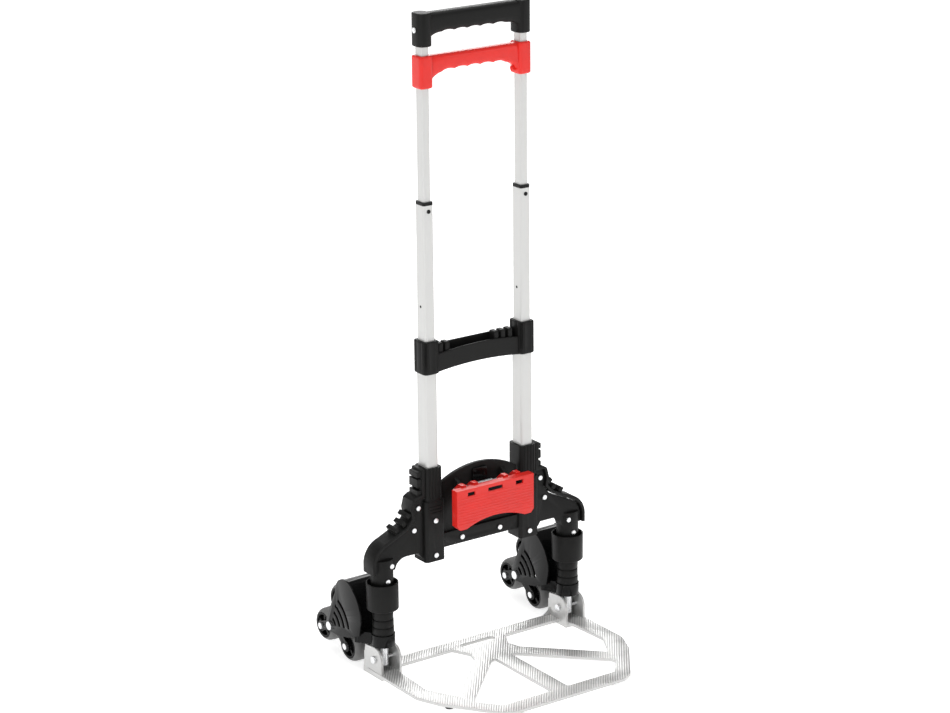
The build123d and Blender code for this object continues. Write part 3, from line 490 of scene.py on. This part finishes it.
class TRUCK_OT_tyres(Maker):
    """The six grey tyres."""

    bl_idname = "truck.tyres"
    bl_label = "Tyres"

    def execute(self, context):
        for side_name, _ in SIDES:
            for k in (1, 2, 3):
                node = f"{side_name}_tyre_{k}"
                place(self.tyre("skin_" + node, node), body_of(node), "tyre", node)
        return {"FINISHED"}

    def tyre(self, name, node):
        """A closed profile turned about X: a crown whose shoulders fall away as a fifth power of the distance from
        the middle, three shallow grooves cut by narrow bell curves, and a flat inner face."""
        centre = middle(node)
        size = extent(node)
        outer, half = size.z / 2.0, size.x / 2.0
        inner = outer * 0.742
        t = np.linspace(-1.0, 1.0, 61)
        crown = outer - (outer - inner) * 0.82 * np.abs(t) ** 5
        for at in (-0.38, 0.0, 0.38):
            crown = crown - sizes().tread_depth * np.exp(-((t - at) / 0.035) ** 2)
        back = np.linspace(1.0, -1.0, 9)[1:-1]
        radius = np.concatenate([crown, np.full(back.size, inner)])
        along = np.concatenate([t * half, back * half])
        turn = np.linspace(0.0, 2.0 * pi, 96, endpoint=False)
        r, a = np.meshgrid(radius, turn, indexing="ij")
        x = np.repeat(along[:, None], turn.size, 1)
        points = np.stack([centre.x + x, centre.y + r * np.cos(a), centre.z + r * np.sin(a)], -1)
        return skin(name, points, close_rows=True, smooth=60.0)


class TRUCK_OT_carriers(Maker):
    """The fenders, the three-armed plates and the wheel hubs."""

    bl_idname = "truck.carriers"
    bl_label = "Wheel carriers"

    def execute(self, context):
        for name, _ in SIDES:
            rounded_copy(name + "_fender", f"skin_{name}_fender", sizes().edge)
            rounded_copy(name + "_star_plates", f"skin_{name}_star_plates", sizes().edge * 0.6)
            for k in (1, 2, 3):
                rounded_copy(f"{name}_hub_{k}", f"skin_{name}_hub_{k}", sizes().edge * 0.5)
        return {"FINISHED"}


def signed_power(value, power):
    """|value| to a power, with value's sign."""
    return np.sign(value) * np.abs(value) ** power


def soft_box(name, centre, size, power=0.28, rows=40, columns=72):
    """A superellipsoid: latitude and longitude run over a ball whose cosines and sines are raised to a
    small power, so that it fills its box and keeps round edges."""
    lat = np.linspace(-pi / 2, pi / 2, rows)
    lat = np.sign(lat) * (pi / 2) * (np.abs(lat) / (pi / 2)) ** 0.8
    lon = np.linspace(0.0, 2.0 * pi, columns, endpoint=False)
    v, u = np.meshgrid(lat, lon, indexing="ij")
    ring = signed_power(np.cos(v), power)
    x = centre[0] + size[0] / 2 * ring * signed_power(np.cos(u), power)
    y = centre[1] + size[1] / 2 * ring * signed_power(np.sin(u), power)
    z = centre[2] + size[2] / 2 * signed_power(np.sin(v), power)
    return skin(name, np.stack([x, y, z], -1), smooth=50.0)


def sleeve(name, centre, outer, inner, z0, z1, lip=0.0012, power=0.32, flutes=0, flute_depth=0.0,
           flute_from=0.0, columns=144):
    """A wall between two rounded rectangles, carried from z0 to z1 with quarter-round lips.  Its outer
    rectangle is a superellipse, and flutes sink it by a raised cosine counted round the perimeter."""
    turn = np.linspace(0.0, 2.0 * pi, columns, endpoint=False)
    quarter = np.linspace(0.0, pi / 2, 6)
    height = z1 - z0
    straight = np.linspace(lip, height - lip, 9)
    inset = np.concatenate([lip * (1 - np.sin(quarter)), np.zeros(9), lip * (1 - np.cos(quarter))])
    rise = np.concatenate([lip * (1 - np.cos(quarter)), straight, height - lip + lip * np.sin(quarter)])
    c, n = signed_power(np.cos(turn), power), signed_power(np.sin(turn), power)
    cut = flute_depth * 0.5 * (1 - np.cos(flutes * turn)) if flutes else np.zeros_like(turn)
    strength = (rise > flute_from)[:, None] * np.ones((1, columns))
    push = inset[:, None] + cut[None, :] * strength
    wall_x = (outer[0] / 2 - push) * c
    wall_y = (outer[1] / 2 - push) * n
    wall_z = np.repeat(rise[:, None], columns, 1)
    down = np.linspace(height, 0.0, 7)
    bore_x = np.repeat((inner[0] / 2 * c)[None, :], 7, 0)
    bore_y = np.repeat((inner[1] / 2 * n)[None, :], 7, 0)
    bore_z = np.repeat(down[:, None], columns, 1)
    points = np.stack([np.concatenate([wall_x, bore_x]) + centre[0],
                       np.concatenate([wall_y, bore_y]) + centre[1],
                       np.concatenate([wall_z, bore_z]) + z0], -1)
    return skin(name, points, close_rows=True, smooth=48.0)


def column(name, centre, size, z0, z1, power, lip=0.0016, columns=96):
    """A solid column whose plan is a superellipse and whose top and bottom edges are quarter rounds."""
    turn = np.linspace(0.0, 2.0 * pi, columns, endpoint=False)
    quarter = np.linspace(0.0, pi / 2, 7)
    inset = np.concatenate([lip * (1 - np.sin(quarter)), lip * (1 - np.cos(quarter))])[:, None]
    z = np.concatenate([z0 + lip * (1 - np.cos(quarter)), z1 - lip + lip * np.sin(quarter)])
    x = centre[0] + (size[0] / 2 - inset) * signed_power(np.cos(turn), power)[None, :]
    y = centre[1] + (size[1] / 2 - inset) * signed_power(np.sin(turn), power)[None, :]
    return skin(name, np.stack([x, y, np.repeat(z[:, None], columns, 1)], -1), caps=True, smooth=50.0)


def grip_bar(name, centre_y, x_end, low, high, depth, wave, flare, arch=0.0, power=0.55, drop=0.8):
    """A bar along X whose section is a superellipse.  Its underside rises by the height of a rectified
    cosine, one arch to each finger, and drops near both ends in a quarter-ellipse gusset."""
    x = np.linspace(-x_end, x_end, 181)
    turn = np.linspace(0.0, 2.0 * pi, 56, endpoint=False)
    inside = np.abs(x) < 2.5 * sizes().wave_pitch
    scallop = wave * np.abs(np.cos(pi * x / sizes().wave_pitch)) ** 0.7 * inside
    near = np.clip((np.abs(x) - (x_end - flare)) / flare, 0.0, 1.0)
    gusset = flare * (1.0 - np.sqrt(np.clip(1.0 - near ** 2.2, 0.0, 1.0))) * drop
    bottom = low + scallop - gusset + arch * (1.0 - (x / x_end) ** 2)
    middle_z = (bottom + high) / 2.0
    half = (high - bottom) / 2.0
    y = centre_y + depth / 2 * signed_power(np.cos(turn), power)[None, :] * np.ones((x.size, 1))
    z = middle_z[:, None] + half[:, None] * signed_power(np.sin(turn), power)[None, :]
    xx = np.repeat(x[:, None], turn.size, 1)
    return skin(name, np.stack([xx, y, z], -1), caps=True, smooth=50.0)


def wall(name, x, low, high, front, thick, power=0.22):
    """A plate standing along X between two edge curves, its section a superellipse."""
    turn = np.linspace(0.0, 2.0 * pi, 40, endpoint=False)
    y = front + thick / 2 + thick / 2 * signed_power(np.cos(turn), power)
    z = ((low + high) / 2)[:, None] + ((high - low) / 2)[:, None] * signed_power(np.sin(turn), power)[None, :]
    xx = np.repeat(x[:, None], turn.size, 1)
    return skin(name, np.stack([xx, np.repeat(y[None, :], x.size, 0), z], -1), caps=True, smooth=50.0)


def dimple(name, centre, radius, depth, rings=22, columns=36):
    """A flat disc turned about -X: every ring stands the full depth proud but the rim, which lies flush."""
    t = np.linspace(0.0, 1.0, rings)
    r = np.sin(t * pi / 2) * radius
    h = np.where(np.arange(rings) < rings - 1, depth, 0.0)
    turn = np.linspace(0.0, 2.0 * pi, columns, endpoint=False)
    rr, aa = np.meshgrid(r, turn, indexing="ij")
    x = centre[0] - np.repeat(h[:, None], columns, 1)
    points = np.stack([x, centre[1] + rr * np.cos(aa), centre[2] + rr * np.sin(aa)], -1)
    return skin(name, points, caps=True, smooth=60.0)


def joined(name, pieces):
    """Several meshes made into one object."""
    bm = bmesh.new()
    for piece in pieces:
        bm.from_mesh(piece.data)
        bpy.data.objects.remove(piece)
    mesh = bpy.data.meshes.new(name)
    bm.to_mesh(mesh)
    bm.free()
    made = bpy.data.objects.new(name, mesh)
    bpy.context.scene.collection.objects.link(made)
    return made


class TRUCK_OT_handles(Maker):
    """The top handle, the red release grip and the red catch."""

    bl_idname = "truck.handles"
    bl_label = "Handle and releases"

    def execute(self, context):
        self.top_handle()
        self.release_grip()
        rounded_copy("catch_cover", "skin_catch_cover", sizes().edge)
        self.catch_ribs()
        return {"FINISHED"}

    def catch_ribs(self):
        """Fine ribs across the catch: half-ellipse strips whose length follows the arch of its lower edge."""
        low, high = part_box("catch_cover")
        turn = np.linspace(0.0, pi, 9)
        parts = []
        for z in np.arange(low.z + 0.009, high.z - 0.0135, RIB_PITCH):
            rise = np.clip((low.z + 0.0115 - z) / 0.0115, 0.0, 1.0)
            for a, b in ((-1.0, -rise ** 0.5), (rise ** 0.5, 1.0)) if rise > 0 else ((-1.0, 1.0),):
                x = np.linspace(a, b, 12) * (high.x - 0.0026)
                xx, tt = np.meshgrid(x, turn, indexing="ij")
                points = np.stack([xx, low.y + 0.0003 - 0.0006 * np.sin(tt), z + 0.0013 * np.cos(tt)], -1)
                parts.append(skin("rib", points, caps=True))
        place(joined("skin_catch_ribs", parts), "catch", "red")

    def top_handle(self):
        """Two soft-cornered caps and a grip with finger waves."""
        low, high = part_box("handle")
        cap_width = high.x - TUBE.x
        mid_y = (low.y + high.y) / 2
        tall = high.z - low.z
        parts = []
        for _, s in SIDES:
            parts.append(column("cap", (s * TUBE.x, mid_y), (2 * cap_width, high.y - low.y), low.z, high.z, 0.75))
        parts.append(grip_bar("grip", mid_y, TUBE.x - cap_width * 0.5, low.z + 0.36 * tall,
                              high.z - 0.0006, 0.84 * (high.y - low.y), sizes().wave_height, 0.026, drop=0.55))
        place(joined("skin_handle", parts), "inner_stage", "black", "handle")

    def release_grip(self):
        """Two sleeves on the inner tubes and an arched bar with finger waves."""
        low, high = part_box("release_grip")
        bore = extent("left_inner_tube")
        width = 2 * (high.x - TUBE.x)
        depth = extent("release_grip").y
        mid_y = POST.y
        parts = []
        for _, s in SIDES:
            parts.append(sleeve("sleeve", (s * TUBE.x, mid_y), (width, depth), (bore.x + 0.0008, bore.y + 0.0008),
                                low.z, high.z, 0.003, 0.36))
        bar_low = low.z + 0.47 * (high.z - low.z)
        parts.append(grip_bar("bar", mid_y, TUBE.x - width * 0.45, bar_low - 0.003, high.z - 0.0012, 0.74 * depth,
                              sizes().wave_height, 0.032, 0.003, drop=0.53))
        hook = soft_box("hook", (TUBE.x - width * 0.62, mid_y, low.z + 0.009), (0.009, 0.006, 0.007), 0.5, 16, 24)
        parts.append(hook)
        place(joined("skin_release_grip", parts), "trigger", "red", "release_grip")


class TRUCK_OT_toe_plate(Maker):
    """The cast toe plate with its clevis brackets."""

    bl_idname = "truck.toe_plate"
    bl_label = "Toe plate"

    def execute(self, context):
        rounded_copy("toe_plate", "skin_toe_plate", sizes().metal_edge)
        return {"FINISHED"}


class TRUCK_OT_fixings(Maker):
    """Finishes for every frame node that stays as it is: tubes, shafts, rivets, bolts, springs."""

    bl_idname = "truck.fixings"
    bl_label = "Tubes and fixings"

    def execute(self, context):
        for node, piece in frame["nodes"].items():
            piece.data.materials.clear()
            piece.data.materials.append(finish_named(slot_of(node)))
            for face in piece.data.polygons:
                face.material_index = 0
        for node in ("base_rivets", "handle_screws", "hinge_bolts"):
            rounded_copy(node, "skin_" + node, sizes().metal_edge)
        frame["nodes"]["mid_buttons"].data.materials[0] = finish_named("black")
        self.dimple_shade()
        return {"FINISHED"}


    def dimple_shade(self):
        """Black discs a tenth of a millimetre proud on the tubes' outer faces, where stamped dimples sit: their
        black is painted shade of the hollows.
        """
        tube = extent("left_mid_tube")
        low = middle("left_mid_tube").z - tube.z / 2
        parts = []
        for _, s in SIDES:
            spot = (s * TUBE.x - tube.x / 2, POST.y, low + 0.193)
            parts.append(dimple("dimple", spot, 0.0022, 0.0001))
        # Painted shade: the black discs stand for the shade inside the stamped dimples.
        place(joined("skin_tube_dimple_shade", parts), "mid_stage", "black")


class TRUCK_OT_stage(Maker):
    """Pale floor that glows as painted light, soft lights and the camera."""

    bl_idname = "truck.stage"
    bl_label = "Stage"

    def execute(self, context):
        self.floor()
        self.lights(context)
        self.camera(context)
        return {"FINISHED"}

    def floor(self):
        """A floor whose back rises in a quarter sine, as a studio sweep does, and which glows as painted light."""
        u = np.linspace(-9.0, 9.0, 25)
        v = np.linspace(-9.0, 14.0, 49)
        x, y = np.meshgrid(u, v, indexing="ij")
        z = np.where(y > 8.0, 4.0 * (1.0 - np.cos((y - 8.0) / 6.0 * pi / 2.0)), 0.0)
        sweep = skin("studio_floor", np.stack([x, y, z], -1), close_columns=False)
        # Painted light: the floor glows, dimmer near the truck and full white far off, and this glow fills and
        # pales the shadows on it.
        m = Shader("floor_painted_glow", Roughness=0.85, Emission_Strength=1.0)
        grain = m.noise(3.0, 4.0)
        across, along, _ = m.axes()
        glow_by_distance = (((across * across + along * along) ** 0.5 - 0.6) * 0.3).clipped()
        m.feed("Emission Color", m.mix(glow_by_distance, (0.6, 0.6, 0.6), (1.0, 1.0, 1.0)))
        base = tuple(colours().floor)
        m.feed("Base Color", m.mix(grain, shade(base, 0.995), shade(base, 1.005)))
        sweep.data.materials.append(m.material)

    def lights(self, context):
        """One wide lamp overhead, one broad key from the camera's left, a fill and a rim."""
        rig = (
            ("key", (-2.9, -1.8, 2.3), 1.5, 46.0),
            ("fill", (2.6, -2.6, 1.5), 1.6, 16.0),
            ("top", (0.0, 0.1, 3.3), 2.6, 62.0),
            ("rim", (1.4, 2.6, 1.9), 1.4, 22.0),
        )
        for name, spot, width, power in rig:
            data = bpy.data.lights.new("lamp_" + name, "AREA")
            data.size = width
            data.energy = power
            lamp = bpy.data.objects.new("lamp_" + name, data)
            aim = Vector((0.0, 0.0, 0.5)) - Vector(spot)
            lamp.location = spot
            lamp.rotation_euler = aim.to_track_quat("-Z", "Y").to_euler()
            context.scene.collection.objects.link(lamp)
        world = bpy.data.worlds.new("studio")
        world.use_nodes = True
        sky = world.node_tree.nodes["Background"]
        sky.inputs["Color"].default_value = (1.0, 1.0, 1.0, 1.0)
        sky.inputs["Strength"].default_value = 0.22
        context.scene.world = world
        context.scene.view_settings.view_transform = "Standard"

    def camera(self, context):
        """A long lens, turned and raised about the truck and rolled a little."""
        s = sizes()
        back = Vector((sin(s.camera_turn) * cos(s.camera_rise), -cos(s.camera_turn) * cos(s.camera_rise),
                       sin(s.camera_rise)))
        right = Vector((cos(s.camera_turn), sin(s.camera_turn), 0.0))
        up = back.cross(right)
        c, d = cos(s.camera_roll), sin(s.camera_roll)
        turned_right = right * c + up * d
        turned_up = up * c - right * d
        data = bpy.data.cameras.new("camera")
        data.lens = LENS
        data.sensor_width = SENSOR
        data.clip_end = 60.0
        made = bpy.data.objects.new("camera", data)
        spot = CAMERA_OFFSET + Vector((0.0, POST.y, 0.0))
        made.matrix_world = Matrix.Translation(spot) @ Matrix(
            (turned_right, turned_up, back)).transposed().to_4x4()
        context.scene.collection.objects.link(made)
        context.scene.camera = made


class TRUCK_PT_panel(bpy.types.Panel):
    """Sidebar panel listing the makers and their settings."""

    bl_label = "Hand truck"
    bl_space_type = "VIEW_3D"
    bl_region_type = "UI"
    bl_category = "Hand truck"

    def draw(self, context):
        for operator in OPERATORS:
            self.layout.operator(operator.bl_idname)
        for group in (context.scene.truck_sizes, context.scene.truck_colours):
            for key in group.__annotations__:
                self.layout.prop(group, key)


OPERATORS = (TRUCK_OT_fixings, TRUCK_OT_moulded_base, TRUCK_OT_clamp, TRUCK_OT_handles, TRUCK_OT_toe_plate,
             TRUCK_OT_carriers, TRUCK_OT_tyres, TRUCK_OT_stage)
CLASSES = (TruckSizes, TruckColours, *OPERATORS, TRUCK_PT_panel)


def register():
    for item in CLASSES:
        bpy.utils.register_class(item)
    bpy.types.Scene.truck_sizes = bpy.props.PointerProperty(type=TruckSizes)
    bpy.types.Scene.truck_colours = bpy.props.PointerProperty(type=TruckColours)


def unregister():
    del bpy.types.Scene.truck_colours
    del bpy.types.Scene.truck_sizes
    for item in reversed(CLASSES):
        bpy.utils.unregister_class(item)


def main():
    """Builds every piece in order."""
    register()
    for operator in OPERATORS:
        group, name = operator.bl_idname.split(".")
        getattr(getattr(bpy.ops, group), name)()


if __name__ == "__main__":
    main()
